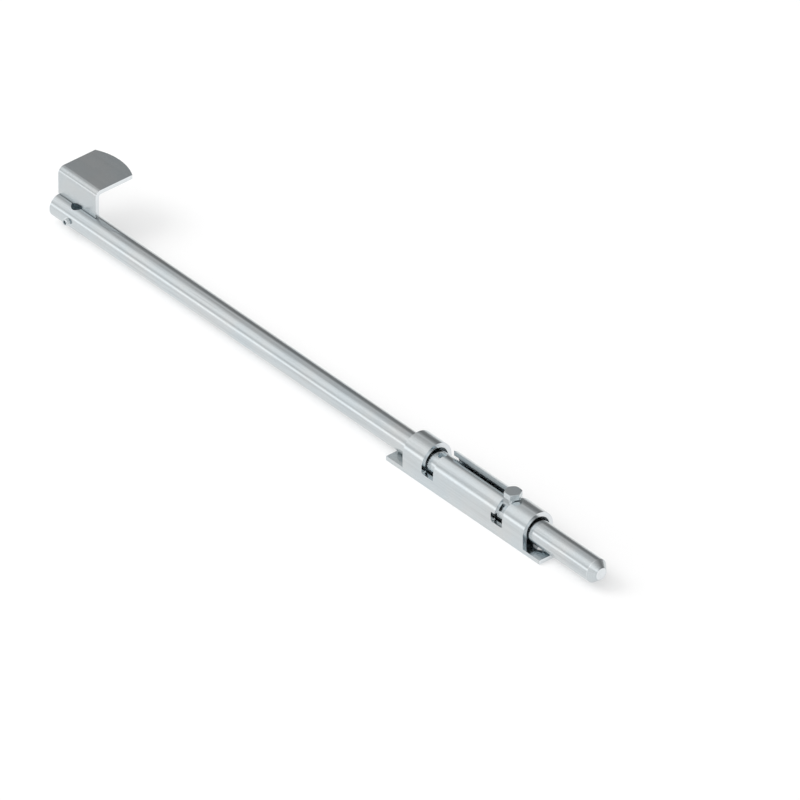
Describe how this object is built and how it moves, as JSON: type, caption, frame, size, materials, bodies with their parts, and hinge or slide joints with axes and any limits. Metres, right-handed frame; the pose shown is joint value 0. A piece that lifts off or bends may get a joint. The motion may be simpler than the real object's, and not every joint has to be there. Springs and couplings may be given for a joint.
{
  "type": "flush bolt",
  "caption": "Round steel bolt rod that slides in a screw-on sheet steel housing, worked by a bent handle and locked by a hex bolt in an H-shaped slot.",
  "frame": {"origin": "middle of the base plate's back face, half way between the two fixing screws", "axes": "+X along the rod towards its chamfered tip, +Z away from the door, +Y to the side the handle's finger plate faces"},
  "size_m": [0.5102, 0.0455, 0.0386],
  "materials": {
    "housing_zinc": "bright zinc plate, satin",
    "rod_zinc": "bright zinc plate over drawn bar, satin",
    "handle_zinc": "bright zinc plate, satin",
    "fastener_zinc": "bright zinc plate, machined"
  },
  "bodies": {
    "housing": {"base_plate": "housing_zinc", "tunnel": "housing_zinc"},
    "rod_tip": {"rod_tip": "rod_zinc"},
    "rod": {"rod": "rod_zinc"},
    "handle": {"handle": "handle_zinc"},
    "grub_screw": {"grub_screw": "fastener_zinc"},
    "hex_bolt": {"hex_bolt": "fastener_zinc"}
  },
  "joints": [
    {"name": "throw", "type": "slide", "parent": "housing", "child": "rod_tip", "axis": [1, 0, 0], "range_m": [-0.066, 0]},
    {"name": "turn", "type": "hinge", "parent": "rod_tip", "child": "rod", "pos_m": [0.033, 0, 0.0113], "axis": [-1, 0, 0], "range_deg": [-90, 0]},
    {"name": "handle_lift", "type": "slide", "parent": "rod", "child": "handle", "axis": [0, 0, 1], "range_m": [0, 0.04]},
    {"name": "grub_screw_out", "type": "slide", "parent": "rod", "child": "grub_screw", "axis": [0, -1, 0], "range_m": [0, 0.029]},
    {"name": "hex_bolt_out", "type": "slide", "parent": "rod", "child": "hex_bolt", "axis": [0, 0, 1], "range_m": [0, 0.04]}
  ]
}
